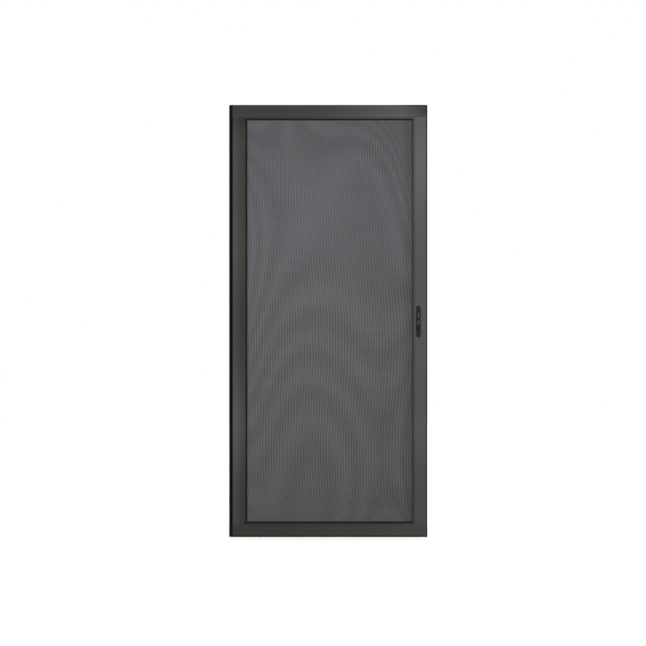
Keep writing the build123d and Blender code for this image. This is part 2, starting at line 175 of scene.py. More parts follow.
def bronze_tone(tree, place, lines, swing, along, shares, tongue, fall):
    """Colour of a bronze member.

    swing is the dark and the light tone, between which the colour goes with the die lines and a
    drift about 0.4 m across. It is multiplied by shares, a list of (millimetres in from the outer
    edge, share) that paints light and shade across the member: a painted highlight on its rounded
    edges, painted light and shade across a crowned face, and painted shade on the step inside.
    fall is (from, to, share): between those places along the member the tone falls to that share,
    which is painted shade. The outer 5.4 mm are the tongue, which is painted almost black between
    the two places in tongue: painted shade.
    """
    drift = add(
        tree, "TexNoise", {"Vector": place, "Scale": 1 / DRIFT_SIZE, "Detail": 1.0}
    ).outputs["Fac"]
    both = add(
        tree, "Mix", {"Factor": 0.45, "A": lines, "B": drift}, data_type="FLOAT"
    ).outputs[0]
    metal = add(tree, "ValToRGB", {"Fac": both})
    for stop, position, colour in zip(metal.color_ramp.elements, (0.35, 0.65), swing):
        stop.position, stop.color = position, tone(colour)

    xyz = add(tree, "SeparateXYZ", {"Vector": place})
    along_member, across_axis = xyz.outputs[along], 2 - along
    inward = depth_in(tree, xyz.outputs[across_axis], across_axis)
    scaled = add(tree, "Math", {0: inward, 1: CROWN_SPAN}, operation="DIVIDE").outputs[0]
    painted_light_across = add(tree, "ValToRGB", {"Fac": scaled})
    stops = painted_light_across.color_ramp.elements
    for i, (millimetres, share) in enumerate(shares):
        stop = stops[i] if i < 2 else stops.new(1.0)
        stop.position, stop.color = millimetres * MM / CROWN_SPAN, (share, share, share, 1.0)
    end = add(tree, "MapRange", {
        "Value": along_member, "From Min": fall[0], "From Max": fall[1],
        "To Min": 1.0, "To Max": fall[2],
    }).outputs[0]
    shown = metal.outputs["Color"]
    for share in (painted_light_across.outputs["Color"], end):
        shown = add(
            tree, "Mix", {"Factor": 1.0, "A": shown, "B": share},
            data_type="RGBA", blend_type="MULTIPLY",
        ).outputs[2]

    # Painted shade: the tongue goes almost black.
    on_tongue = add(tree, "Math", {0: inward, 1: TONGUE_WIDTH}, operation="LESS_THAN").outputs[0]
    grown = add(
        tree, "MapRange", {"Value": along_member, "From Min": tongue[0], "From Max": tongue[1]}
    ).outputs[0]
    black = add(tree, "Math", {0: on_tongue, 1: grown}, operation="MULTIPLY").outputs[0]
    return add(
        tree, "Mix", {"Factor": black, "A": shown, "B": tone(TONGUE_SHADE)}, data_type="RGBA"
    ).outputs[2]


print("the tongue is", TONGUE_WIDTH / MM, "mm wide")

# %% Bronze anodised aluminium


def bronze_anodised(name, dark, light, along, shares, tongue=(-2.0, -1.9), fall=(2.0, 2.1, 1.0)):
    """Satin anodised aluminium whose die lines run along one axis, 0 for X or 2 for Z.

    Left out, tongue makes the whole tongue black and fall changes nothing. A reflection spreads
    along the shader's tangent, which is the face's normal x the member's length.
    """
    material, tree, bsdf, place = start_material(
        name, Metallic=1.0, Roughness=0.36, Anisotropic=0.7
    )
    lines = die_lines(tree, place, along)
    shown = bronze_tone(tree, place, lines, (dark, light), along, shares, tongue, fall)
    tree.links.new(shown, bsdf.inputs["Base Color"])
    facing = add(tree, "NewGeometry").outputs["Normal"]
    length = tuple(float(i == along) for i in range(3))
    across = add(tree, "VectorMath", {0: facing, 1: length}, operation="CROSS_PRODUCT").outputs[0]
    tree.links.new(across, bsdf.inputs["Tangent"])
    rough = add(tree, "MapRange", {"Value": lines, "To Min": 0.32, "To Max": 0.42})
    tree.links.new(rough.outputs[0], bsdf.inputs["Roughness"])
    bump = add(tree, "Bump", {"Height": lines, "Strength": 0.1, "Distance": 0.05 * MM})
    tree.links.new(bump.outputs[0], bsdf.inputs["Normal"])
    return material


# Millimetres in from the member's outer edge, and the share of its tone there.
# The shares are painted light: a painted highlight at the rounded edges and painted shade on the
# step inside.
FLAT_FACE = [(5.4, 1.12), (8.5, 1.0), (53.0, 1.0), (56.5, 1.14), (57.6, 0.8), (66.0, 0.72)]
RAIL_FACE = [
    (5.4, 1.15), (8.5, 1.05), (20.0, 0.96), (40.0, 1.0), (56.0, 1.14), (57.6, 0.86), (66.0, 0.74)
]
CROWNED_FACE = [
    (5.4, 1.0), (9.0, 1.08), (22.0, 1.03), (38.0, 0.86),
    (51.0, 0.72), (55.5, 0.98), (57.6, 0.7), (66.0, 0.66),
]
# The four members are lit and shaded copies of one bronze: the lock stile is painted lighter and
# the rails darker. Each fall and each tongue is painted shade.
dress(
    bronze_anodised(
        "bronze_anodised_trailing_stile", "#393a36", "#40413e", 2, CROWNED_FACE,
        fall=(1.87, 1.97, 0.76),
    ),
    "trailing_stile",
)
dress(
    bronze_anodised("bronze_anodised_lock_stile", "#3e3f3d", "#464745", 2, FLAT_FACE),
    "lock_stile",
)
dress(
    bronze_anodised(
        "bronze_anodised_top_rail", "#363635", "#3c3c3b", 0, RAIL_FACE,
        tongue=(0.28, 0.42), fall=(0.35, 0.45, 0.58),
    ),
    "top_rail",
)
dress(
    bronze_anodised(
        "bronze_anodised_bottom_rail", "#353632", "#3c3d38", 0, FLAT_FACE, fall=(0.0, -0.40, 0.72)
    ),
    "bottom_rail",
)

# %% [markdown]
# ## Black parts
# The pulls and thumb pieces are zinc castings with a fine powder coat: half matt, with a faint
# orange peel. The mouldings are glass-filled nylon, a little duller, with the texture of a
# spark-eroded mould. One flat black would look like a hole in the picture. So the powder coat's
# tone follows how far a point is from the door: a painted highlight where the casting stands out,
# and painted shade where it doesn't.

# %% Powder-coated castings
# Polyester powder coat: IOR 1.5, half matt, orange peel about 0.8 mm across. Its tone is a
# painted highlight where it stands out furthest, and painted shade, almost black, round the
# plate's side and in a patch above the thumb piece.
RELIEF_LIGHT_SPAN = 32 * MM
# Painted highlight on the raised pads and painted shade low down, by distance from the door.
RELIEF_LIGHT_TONES = [                    # millimetres from the door's middle plane, and the tone there
    (16.1, "#020203"), (16.9, "#121316"), (20.0, "#121316"), (20.8, "#1d1e21"),
    (22.5, "#0b0c0e"), (26.6, "#131417"), (28.6, "#383a3f"),
]
PEEL_SIZE = 0.8 * MM
SHADE_PATCH_HEIGHT, SHADE_PATCH_REACH, SHADE_PATCH_BLACK = 0.985, 6.5 * MM, "#020203"
black_powder, tree, bsdf, place = start_material(
    "black_powder_coated_zinc", Roughness=0.48, IOR=1.5, Specular_IOR_Level=0.22
)
xyz = add(tree, "SeparateXYZ", {"Vector": place}).outputs
out_of_door = add(tree, "Math", {0: xyz["Y"]}, operation="ABSOLUTE").outputs[0]
out_share = add(tree, "Math", {0: out_of_door, 1: RELIEF_LIGHT_SPAN}, operation="DIVIDE").outputs[0]
relief_light = add(tree, "ValToRGB", {"Fac": out_share})
stops = relief_light.color_ramp.elements
for i, (millimetres, given_tone) in enumerate(RELIEF_LIGHT_TONES):
    stop = stops[i] if i < 2 else stops.new(1.0)
    stop.position, stop.color = millimetres * MM / RELIEF_LIGHT_SPAN, tone(given_tone)
peel = add(
    tree, "TexNoise", {"Vector": place, "Scale": 1 / PEEL_SIZE, "Detail": 2.0}
).outputs["Fac"]
lights = add(tree, "MapRange", {
    "Value": peel, "From Min": 0.3, "From Max": 0.7, "To Min": 0.85, "To Max": 1.2,
}).outputs[0]
peeled = add(
    tree, "Mix", {"Factor": 1.0, "A": relief_light.outputs["Color"], "B": lights},
    data_type="RGBA", blend_type="MULTIPLY",
).outputs[2]
# Painted shade: a band across the castings above the thumb piece goes almost black.
shade_patch = add(
    tree, "Math", {0: xyz["Z"], 1: SHADE_PATCH_HEIGHT, 2: SHADE_PATCH_REACH}, operation="COMPARE"
).outputs[0]
shade_patched = add(
    tree, "Mix", {"Factor": shade_patch, "A": peeled, "B": tone(SHADE_PATCH_BLACK)}, data_type="RGBA"
)
tree.links.new(shade_patched.outputs[2], bsdf.inputs["Base Color"])
rough = add(tree, "MapRange", {"Value": peel, "To Min": 0.42, "To Max": 0.54})
tree.links.new(rough.outputs[0], bsdf.inputs["Roughness"])
bump = add(tree, "Bump", {"Height": peel, "Strength": 0.3, "Distance": 0.04 * MM})
tree.links.new(bump.outputs[0], bsdf.inputs["Normal"])
dress(black_powder, "pull_outdoor", "pull_indoor", "thumb_outdoor", "thumb_indoor")

# %% Nylon mouldings and wheels


def speckled(name, colour, given_tone, grain, bump_height, **shader):
    """A dull finish that mottles a little from colour towards given_tone.

    How far it goes is a noise with a grain of the given size in metres, times a slow cloud about
    55 mm across.
    """
    material, tree, bsdf, place = start_material(name, **shader)
    spots = add(
        tree, "TexNoise", {"Vector": place, "Scale": 1 / grain, "Detail": 2.0}
    ).outputs["Fac"]
    cloud = add(tree, "TexNoise", {"Vector": place, "Scale": 18.0, "Detail": 2.0}).outputs["Fac"]
    share = add(tree, "Math", {0: spots, 1: cloud}, operation="MULTIPLY").outputs[0]
    mixed = add(
        tree, "Mix", {"Factor": share, "A": tone(colour), "B": tone(given_tone)}, data_type="RGBA"
    )
    tree.links.new(mixed.outputs[2], bsdf.inputs["Base Color"])
    bump = add(tree, "Bump", {"Height": spots, "Strength": 0.3, "Distance": bump_height})
    tree.links.new(bump.outputs[0], bsdf.inputs["Normal"])
    return material


# Glass-filled nylon from a spark-eroded mould: matt. Its grain is finer than 0.4 mm, too fine to
# show, so it is drawn that coarse.
black_nylon = speckled(
    "black_glass_filled_nylon", "#070707", "#141414", 0.4 * MM, 0.03 * MM,
    Roughness=0.7, IOR=1.53, Specular_IOR_Level=0.1,
)
# Moulded nylon tyre of a roller: off-white, slightly waxy.
white_nylon = speckled(
    "natural_nylon_wheel", "#c9c6bb", "#dad8cf", 0.9 * MM, 0.02 * MM, Roughness=0.4, IOR=1.53
)
corners = ("bottom_end_cap", "top_end_cap", "bottom_corner_guard", "top_corner_guard")
housings = [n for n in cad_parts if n.endswith("roller_housing")]
wheels = [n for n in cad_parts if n.endswith("side_roller")]
dress(black_nylon, *corners, *housings)
dress(white_nylon, *wheels)

# %% [markdown]
# The spline is a soft vinyl cord, extruded in a long coil with fine ribs along it that bite into
# the groove. The ribs could be cut into the mesh, but at 1.1 mm apart a wave in the bump costs
# nothing and catches the light the same. Vinyl is waxy, but dusty in a groove, so it hardly
# shines. The seal's carrier is a stiff grey vinyl for the channel, and the clip that grips the
# tongue is painted almost black: painted shade of the gap beside the stile.

# %% Ribbed vinyl spline
RIB_PITCH = 1.1 * MM


def ribbed_vinyl(name, across, trough_tone="#0a0a0a", crest_tone="#242424"):
    """Vinyl with ribs along its length: sin(2 pi distance / rib pitch), counted along across.

    The ribs' crests are greyer, more in some places than in others.
    """
    material, tree, bsdf, place = start_material(
        name, Roughness=0.6, IOR=1.5, Specular_IOR_Level=0.12
    )
    counted = add(tree, "SeparateXYZ", {"Vector": place}).outputs[across]
    angle = add(
        tree, "Math", {0: counted, 1: 2 * np.pi / RIB_PITCH}, operation="MULTIPLY"
    ).outputs[0]
    ribs = add(tree, "Math", {0: angle}, operation="SINE").outputs[0]
    crest_patches = add(tree, "TexNoise", {"Vector": place, "Scale": 60.0, "Detail": 3.0}).outputs["Fac"]
    high = add(tree, "MapRange", {"Value": ribs, "From Min": -1.0, "To Max": 0.6}).outputs[0]
    share = add(tree, "Math", {0: high, 1: crest_patches}, operation="MULTIPLY").outputs[0]
    colour = add(
        tree, "Mix", {"Factor": share, "A": tone(trough_tone), "B": tone(crest_tone)}, data_type="RGBA"
    )
    tree.links.new(colour.outputs[2], bsdf.inputs["Base Color"])
    bump = add(tree, "Bump", {"Height": ribs, "Strength": 0.5, "Distance": 0.15 * MM})
    tree.links.new(bump.outputs[0], bsdf.inputs["Normal"])
    return material


dress(ribbed_vinyl("black_ribbed_vinyl_of_the_trailing_stile", 0), "spline_trailing_side")
# The spline beside the pull is painted paler: painted light on the side that is lit more.
dress(
    ribbed_vinyl("painted_lit_ribbed_vinyl_of_the_lock_stile", 0, "#292929", "#61615f"),
    "spline_lock_side",
)
dress(ribbed_vinyl("black_ribbed_vinyl_of_the_rails", 2), "spline_top", "spline_bottom")

# %% Grey vinyl carrier with painted shade on its clip
# Beyond CLIP_FROM_MIDDLE the clip is painted almost black: painted shade of the gap beside the
# stile.
CLIP_FROM_MIDDLE = 5.5 * MM      # from the door's middle plane to the clip's soft vinyl
STREAK_WIDTH, STREAK_LENGTH = 0.7 * MM, 1 / 3
carrier_vinyl, tree, bsdf, place = start_material(
    "grey_vinyl_with_painted_shade_on_its_clip", Roughness=0.7, IOR=1.52, Specular_IOR_Level=0.05
)
side = add(tree, "SeparateXYZ", {"Vector": place}).outputs["Y"]
from_middle = add(tree, "Math", {0: side}, operation="ABSOLUTE").outputs[0]
soft = add(
    tree, "Math", {0: from_middle, 1: CLIP_FROM_MIDDLE}, operation="GREATER_THAN"
).outputs[0]
drawn_out = (1 / STREAK_WIDTH, 1 / STREAK_WIDTH, 1 / STREAK_LENGTH)
drawn = add(tree, "Mapping", {"Vector": place, "Scale": drawn_out}).outputs[0]
streaks = add(tree, "TexNoise", {"Vector": drawn, "Scale": 1.0, "Detail": 2.0}).outputs["Fac"]
stiff = add(
    tree, "Mix", {"Factor": streaks, "A": tone("#1a1a1a"), "B": tone("#262625")}, data_type="RGBA"
).outputs[2]
colour = add(
    tree, "Mix", {"Factor": soft, "A": stiff, "B": tone("#030303")}, data_type="RGBA"
)
tree.links.new(colour.outputs[2], bsdf.inputs["Base Color"])
dress(carrier_vinyl, "seal_carrier")

# %% [markdown]
# The latch is pressed from steel and zinc plated. Plating keeps the rolled sheet's fine scratches
# and turns slightly blue where it is passivated. The slide behind the thumb piece's slot and the
# pull's screws have black oxide instead, which is thin and oily, so the steel gives a dull grey
# sheen.

# %% Zinc-plated steel
SCRATCH_WIDTH, SCRATCH_LENGTH, SPANGLE_SIZE = 0.4 * MM, 40 * MM, 4 * MM
zinc_plate, tree, bsdf, place = start_material("zinc_plated_steel", Metallic=1.0, Roughness=0.34)
rolled_out = (1 / SCRATCH_WIDTH, 1 / SCRATCH_WIDTH, 1 / SCRATCH_LENGTH)
rolled = add(tree, "Mapping", {"Vector": place, "Scale": rolled_out}).outputs[0]
scratches = add(tree, "TexNoise", {"Vector": rolled, "Scale": 1.0, "Detail": 4.0}).outputs["Fac"]
spangle = add(tree, "TexVoronoi", {"Vector": place, "Scale": 1 / SPANGLE_SIZE}).outputs["Color"]
grey = add(
    tree, "Mix", {"Factor": scratches, "A": tone("#8f9499"), "B": tone("#b4b8bb")},
    data_type="RGBA",
).outputs[2]
hue = add(
    tree, "Mix", {"Factor": 0.06, "A": grey, "B": spangle}, data_type="RGBA", blend_type="OVERLAY"
)
tree.links.new(hue.outputs[2], bsdf.inputs["Base Color"])
rough = add(tree, "MapRange", {"Value": scratches, "To Min": 0.26, "To Max": 0.44})
tree.links.new(rough.outputs[0], bsdf.inputs["Roughness"])
dress(zinc_plate, "latch_hook", "hook_pivot", "latch_case", "latch_faceplate")

# %% Black oxide on steel
MOTTLE_SIZE = 1.2 * MM
black_oxide, tree, bsdf, place = start_material("black_oxide_steel", Metallic=1.0, Roughness=0.5)
mottle = add(
    tree, "TexNoise", {"Vector": place, "Scale": 1 / MOTTLE_SIZE, "Detail": 3.0}
).outputs["Fac"]
oily = add(
    tree, "Mix", {"Factor": mottle, "A": tone("#121214"), "B": tone("#26272a")}, data_type="RGBA"
)
tree.links.new(oily.outputs[2], bsdf.inputs["Base Color"])
rough = add(tree, "MapRange", {"Value": mottle, "To Min": 0.4, "To Max": 0.6})
tree.links.new(rough.outputs[0], bsdf.inputs["Roughness"])
dress(black_oxide, "latch_slide")

# %% [markdown]
# ## The screen
# Insect screen is a plain weave of vinyl-coated yarns, stretched over the frame's lips and held by
# the spline. Against the photograph's white background it lets no daylight through, so this one is
# a close weave of flat yarns. It could be one sheet with a pattern, but its edge and its relief
# would be painted on. Here every yarn is a real flat strand: a hexagon carried along a straight
# line. Threads that go over and under would need a point at each of some 650,000 crossings, so the
# strands lie in two crossed layers that touch. A bump, and painted shade and highlight in the
# tone, give each crossing its over and under.

# %% Helper that makes a piece


def piece_from(name, vertices, faces, material, body):
    """A mesh piece whose place is in its vertices, riding on a body and taking the given material.
    """
    mesh = bpy.data.meshes.new(name)
    mesh.from_pydata(np.asarray(vertices, float).reshape(-1, 3).tolist(), [], faces)
    mesh.validate()
    mesh.materials.append(material)
    piece = bpy.data.objects.new(name, mesh)
    bpy.context.scene.collection.objects.link(piece)
    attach(piece, body)
    print(name, "has", len(mesh.polygons), "faces")
    return piece


# %% Helpers for many strands at once
YARN_HALF_THICKNESS = 0.17 * MM


def prism_faces(count, sides):
    """Faces of many prisms stored end by end: sides quads round each, and a cap at both ends.

    Prism k holds its first ring at 2 * sides * k and its second ring straight after it.
    """
    k = np.arange(sides)
    quads = np.stack([k, (k + 1) % sides, (k + 1) % sides + sides, k + sides], -1)
    first = (np.arange(count) * 2 * sides)[:, None]
    walls = (first[:, :, None] + quads[None]).reshape(-1, 4).tolist()
    low_caps = (first + k[::-1]).tolist()
    high_caps = (first + k + sides).tolist()
    return walls + low_caps + high_caps


def yarns(places, start, end, depth, half_width, upright):
    """Flat yarns side by side. Each is a hexagon, pointed at both edges, flat over its middle half.

    Corner (a, b) of the hexagon lies at place + a * half_width across and depth + b * half
    thickness into the door, at start and again at end. Level yarns run round it the other way,
    which keeps their faces outward.
    """
    corners_of = np.array([(-1, 0), (-0.5, -1), (0.5, -1), (1, 0), (0.5, 1), (-0.5, 1)], float)
    shape = (len(places), 2, 6)
    across = np.broadcast_to(places[:, None, None] + corners_of[:, 0] * half_width, shape)
    deep = np.broadcast_to(depth + corners_of[:, 1] * YARN_HALF_THICKNESS, shape)
    along = np.broadcast_to(np.array([start, end])[None, :, None], shape)
    if upright:
        return np.stack((across, deep, along), -1)
    return np.stack((along, deep, across), -1)[:, :, ::-1]


print("a yarn has", len(prism_faces(1, 6)), "faces")

# %% Yarns of the screen
WARP_PITCH = 25.4 / 18 * MM      # 18 upright yarns to the inch
WEFT_PITCH = 25.4 / 16 * MM      # 16 level yarns to the inch
WARP_HALF_WIDTH = 0.66 * MM
WEFT_HALF_WIDTH = 0.84 * MM      # level yarns overlap a little, so that no daylight shows
low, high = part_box("insect_screen")
width, height = high.x - low.x, high.z - low.z


def yarn_places(start, length, pitch, half_width):
    """Middles of the yarns that fit into a length: start + half width + k * pitch."""
    return start + half_width + np.arange(int((length - 2 * half_width) / pitch) + 1) * pitch


warp_places = yarn_places(low.x, width, WARP_PITCH, WARP_HALF_WIDTH)
weft_places = yarn_places(low.z, height, WEFT_PITCH, WEFT_HALF_WIDTH)
warp_points = yarns(
    warp_places, low.z, high.z, low.y + YARN_HALF_THICKNESS, WARP_HALF_WIDTH, True
)
weft_points = yarns(
    weft_places, low.x, high.x, high.y - YARN_HALF_THICKNESS, WEFT_HALF_WIDTH, False
)
print(len(warp_places), "upright and", len(weft_places), "level yarns")

# %% Height of the weave


def weave_height(tree, xyz, over):
    """over * cos(pi x / warp pitch) * cos(pi z / weft pitch), counted from the first yarns.

    It is high where one yarn passes over the other, and low at the next crossing. over is 1 for
    the yarns that lie on top at even crossings and -1 for the others.
    """
    weave = over
    for axis, pitch, first in (
        ("X", WARP_PITCH, warp_places[0]), ("Z", WEFT_PITCH, weft_places[0])
    ):
        angle = add(
            tree, "Math", {0: xyz.outputs[axis], 1: np.pi / pitch, 2: -np.pi * first / pitch},
            operation="MULTIPLY_ADD",
        ).outputs[0]
        wave = add(tree, "Math", {0: angle}, operation="COSINE").outputs[0]
        weave = add(tree, "Math", {0: wave, 1: weave}, operation="MULTIPLY").outputs[0]
    return weave


print("there are", len(warp_places) * len(weft_places), "crossings")

# %% [markdown]
# The yarns are much finer than the picture's pixels, so in the photograph they beat against the
# camera and show as soft upright bands, 12 to 14 mm apart, that bow where the cloth is pulled. The
# bands are drawn in the yarns' tone at the spacing that shows. Their count from the middle is a
# smooth function of x and z, so they lean and spread without a break. A second, slower beat shows
# as faint pale lines that run down the sides and close into arches, one inside the other. They are
# drawn the same way.

# %% Bands of the fine beat
BANDS_TO_THE_METRE = 74.0


def band_wave(tree, place, x, z):
    """The bands as sin(2 pi count), with z from mid-height.

    The count from the middle is x * (74 + (7.8 + 4.3 z) z² - 3.8 x) + 2.5 z + (12 - 12 z²) z²,
    stirred by 1.2 times a slow noise. The last 70 mm below the top rail are pulled sideways, which
    takes off (156 - 390 x) * (z - 0.87)².
    """
    z2 = add(tree, "Math", {0: z, 1: z}, operation="MULTIPLY").outputs[0]
    spread = add(tree, "Math", {0: z, 1: 4.3, 2: 7.8}, operation="MULTIPLY_ADD").outputs[0]
    spread = add(
        tree, "Math", {0: spread, 1: z2, 2: BANDS_TO_THE_METRE}, operation="MULTIPLY_ADD"
    ).outputs[0]
    spread = add(tree, "Math", {0: x, 1: -3.8, 2: spread}, operation="MULTIPLY_ADD").outputs[0]
    lean = add(tree, "Math", {0: z2, 1: -12.0, 2: 12.0}, operation="MULTIPLY_ADD").outputs[0]
    lean = add(tree, "Math", {0: z2, 1: lean}, operation="MULTIPLY").outputs[0]
    lean = add(tree, "Math", {0: z, 1: 2.5, 2: lean}, operation="MULTIPLY_ADD").outputs[0]
    stir = add(tree, "TexNoise", {"Vector": place, "Scale": 5.0, "Detail": 1.0}).outputs["Fac"]
    lean = add(tree, "Math", {0: stir, 1: 1.2, 2: lean}, operation="MULTIPLY_ADD").outputs[0]
    above = add(
        tree, "MapRange", {"Value": z, "From Min": 0.87, "From Max": 1.0, "To Max": 0.13}
    ).outputs[0]
    above = add(tree, "Math", {0: above, 1: 2.0}, operation="POWER").outputs[0]
    pull = add(tree, "Math", {0: x, 1: 390.0, 2: -156.0}, operation="MULTIPLY_ADD").outputs[0]
    lean = add(tree, "Math", {0: above, 1: pull, 2: lean}, operation="MULTIPLY_ADD").outputs[0]
    count = add(tree, "Math", {0: x, 1: spread, 2: lean}, operation="MULTIPLY_ADD").outputs[0]
    turns = add(tree, "Math", {0: count, 1: 2 * np.pi}, operation="MULTIPLY").outputs[0]
    return add(tree, "Math", {0: turns}, operation="SINE").outputs[0]


print("bands are", round(1 / BANDS_TO_THE_METRE / MM, 1), "mm apart in the middle of the cloth")

# %% Arches of the slow beat
ARCH_HALF_WIDTH, ARCH_HALF_HEIGHT = 0.40, 0.95   # metres from the cloth's middle that count as 1
ARCH_ROWS = [                    # row i holds the factors of u^i, u^i v, u^i v² and so on
    [2.51, 4.59, -2.88, -4.19, 2.87, 2.56],
    [0.94, -3.11, -2.28, 2.28, 3.34],
    [1.66, -3.98],
    [-2.54, 3.35, 4.02],
    [0.0, 5.69],
]


def arch_wave(tree, x, z):
    """The arches as cos(2 pi count), with z from mid-height.

    The count is the sum of every factor in ARCH_ROWS times its powers of u = x / 0.40 and
    v = z / 0.95. Each row, and then the sum of the rows, is worked out from its highest power down.
    """
    u = add(tree, "Math", {0: x, 1: ARCH_HALF_WIDTH}, operation="DIVIDE").outputs[0]
    v = add(tree, "Math", {0: z, 1: ARCH_HALF_HEIGHT}, operation="DIVIDE").outputs[0]
    count = 0.0
    for row in reversed(ARCH_ROWS):
        in_v = 0.0
        for factor in reversed(row):
            in_v = add(
                tree, "Math", {0: v, 1: in_v, 2: factor}, operation="MULTIPLY_ADD"
            ).outputs[0]
        count = add(tree, "Math", {0: u, 1: count, 2: in_v}, operation="MULTIPLY_ADD").outputs[0]
    turns = add(tree, "Math", {0: count, 1: 2 * np.pi}, operation="MULTIPLY").outputs[0]
    return add(tree, "Math", {0: turns}, operation="COSINE").outputs[0]


print("the arches' count has", sum(map(len, ARCH_ROWS)), "factors")

# %% Vinyl-coated yarn


def screen_yarn(name, over):
    """Charcoal vinyl-coated glass-fibre yarn. over is 1 or -1, as for weave_height.

    Vinyl is dull and a little waxy, so roughness is 0.6 and the yarn has hardly any highlight. The
    cloth is warmer and darker low down, and its dark and light bands each fade between two tones.
    That tone is multiplied by shares: painted shade and highlight at the crossings, the arches, a
    soft fall of painted shade towards the right, a soft fall towards the top, slubs 11 mm apart,
    clouds 0.14 m across, and painted shade along both upright grooves.
    """
    material, tree, bsdf, place = start_material(
        name, Roughness=0.6, IOR=1.5, Specular_IOR_Level=0.2
    )
    xyz = add(tree, "SeparateXYZ", {"Vector": place})
    x = xyz.outputs["X"]
    z = add(
        tree, "Math", {0: xyz.outputs["Z"], 1: DOOR_MIDDLE[2]}, operation="SUBTRACT"
    ).outputs[0]
    weave = weave_height(tree, xyz, over)
    bands = add(
        tree, "MapRange", {"Value": band_wave(tree, place, x, z), "From Min": -1.0}
    ).outputs[0]
    lift = add(tree, "MapRange", {"Value": z, "From Min": -0.9, "From Max": 0.4}).outputs[0]
    dark, light = (
        add(
            tree, "Mix", {"Factor": lift, "A": tone(low_down), "B": tone(high_up)},
            data_type="RGBA",
        ).outputs[2]
        for low_down, high_up in (("#4c4c4c", "#57585b"), ("#606060", "#68696c"))
    )
    colour = add(
        tree, "Mix", {"Factor": bands, "A": dark, "B": light}, data_type="RGBA"
    ).outputs[2]

    drawn = add(tree, "Mapping", {"Vector": place, "Scale": (2.0, 1.0, 90.0)}).outputs[0]
    slubs = add(tree, "TexNoise", {"Vector": drawn, "Scale": 1.0, "Detail": 2.0}).outputs["Fac"]
    cloud = add(tree, "TexNoise", {"Vector": place, "Scale": 7.0, "Detail": 3.0}).outputs["Fac"]
    shade = 1.0
    # The crossings' share is painted shade and highlight; the fall towards the right and the two
    # narrow darkenings beside the grooves are painted shade.
    for source, begin, end, first_share, last_share, way in (
        (weave, -1.0, 1.0, 0.74, 1.26, "LINEAR"),
        (arch_wave(tree, x, z), -1.0, 1.0, 0.93, 1.07, "LINEAR"),
        (x, 0.05, 0.39, 1.0, 0.88, "SMOOTHSTEP"),
        (z, 0.5, 0.95, 1.0, 0.9, "SMOOTHSTEP"),
        (slubs, 0.3, 0.7, 0.96, 1.04, "LINEAR"),
        (cloud, 0.3, 0.7, 0.975, 1.025, "LINEAR"),
        (x, 0.33, 0.387, 1.0, 0.74, "SMOOTHSTEP"),
        (x, -0.3845, -0.38, 0.55, 1.0, "SMOOTHSTEP"),
    ):
        part = add(tree, "MapRange", {
            "Value": source, "From Min": begin, "From Max": end,
            "To Min": first_share, "To Max": last_share,
        }, interpolation_type=way).outputs[0]
        shade = add(tree, "Math", {0: part, 1: shade}, operation="MULTIPLY").outputs[0]
    shaded = add(
        tree, "Mix", {"Factor": 1.0, "A": colour, "B": shade},
        data_type="RGBA", blend_type="MULTIPLY",
    ).outputs[2]
    tree.links.new(shaded, bsdf.inputs["Base Color"])
    bump = add(tree, "Bump", {"Height": weave, "Strength": 0.5, "Distance": 0.12 * MM})
    tree.links.new(bump.outputs[0], bsdf.inputs["Normal"])
    return material


warp_vinyl = screen_yarn("vinyl_coated_warp_yarn", 1.0)
weft_vinyl = screen_yarn("vinyl_coated_weft_yarn", -1.0)
print(warp_vinyl.name, "has", len(warp_vinyl.node_tree.nodes), "nodes")

# %% Both layers of the screen
screen_warp = piece_from(
    "screen_warp_yarns", warp_points, prism_faces(len(warp_places), 6), warp_vinyl,
    "door",
)
screen_weft = piece_from(
    "screen_weft_yarns", weft_points, prism_faces(len(weft_places), 6), weft_vinyl,
    "door",
)
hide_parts("insect_screen")
print("the cloth is", round(width, 4), "by", round(height, 4), "m")

# %% [markdown]
# ## The seal
# A brush seal is a woven backing with a thick row of fine black polypropylene fibres, held in the
# carrier's mouth. A smooth strip would look like rubber, and thousands of hairs would be too many.
# So a ridge with a wavy crest fills the middle of the brush, and coarser bristles stand round it
# in five rows, each leaning a little its own way.

# %% Polypropylene pile
# Drawn fibre is dull and swallows light between its hairs, so it is nearly black with a faint
# sheen.
TUFT_SIZE = 1.3 * MM
bristle_black, tree, bsdf, place = start_material(
    "black_polypropylene_pile", Roughness=0.85, IOR=1.49, Specular_IOR_Level=0.1,
    Sheen_Weight=0.05,
)
tufts = add(
    tree, "TexNoise", {"Vector": place, "Scale": 1 / TUFT_SIZE, "Detail": 2.0}
).outputs["Fac"]
black = add(
    tree, "Mix", {"Factor": tufts, "A": tone("#000000"), "B": tone("#161616")}, data_type="RGBA"
)
tree.links.new(black.outputs[2], bsdf.inputs["Base Color"])
print("tufts are", TUFT_SIZE / MM, "mm across")

# %% Ridge of the brush
# The outline is the backing, three crest corners and the backing mirrored in Y. It is carried up
# the brush in steps of 2 mm, and at each step the crest corners move a little at random.
dice = np.random.default_rng(7)
low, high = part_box("seal_pile")
CREST_STEP = 2.0 * MM
CREST_CORNERS = slice(3, 6)
crest_z = np.linspace(low.z, high.z, int((high.z - low.z) / CREST_STEP) + 1)
backing = [(high.x, -3.2 * MM), (high.x - 1.0 * MM, -3.2 * MM), (high.x - 1.0 * MM, -1.3 * MM)]
crest = [(low.x + 1.1 * MM, -1.2 * MM), (low.x + 0.6 * MM, 0.0), (low.x + 1.1 * MM, 1.2 * MM)]
outline = np.array(backing + crest + [(x, -y) for x, y in reversed(backing)])
sides = len(outline)
ridge = np.empty((crest_z.size, sides, 3))
ridge[:, :, :2] = outline
ridge[:, :, 2] = crest_z[:, None]
ridge[:, CREST_CORNERS, 0] += dice.uniform(-0.3, 0.3, (crest_z.size, 3)) * MM
ridge[:, CREST_CORNERS, 1] += dice.uniform(-0.15, 0.15, (crest_z.size, 3)) * MM


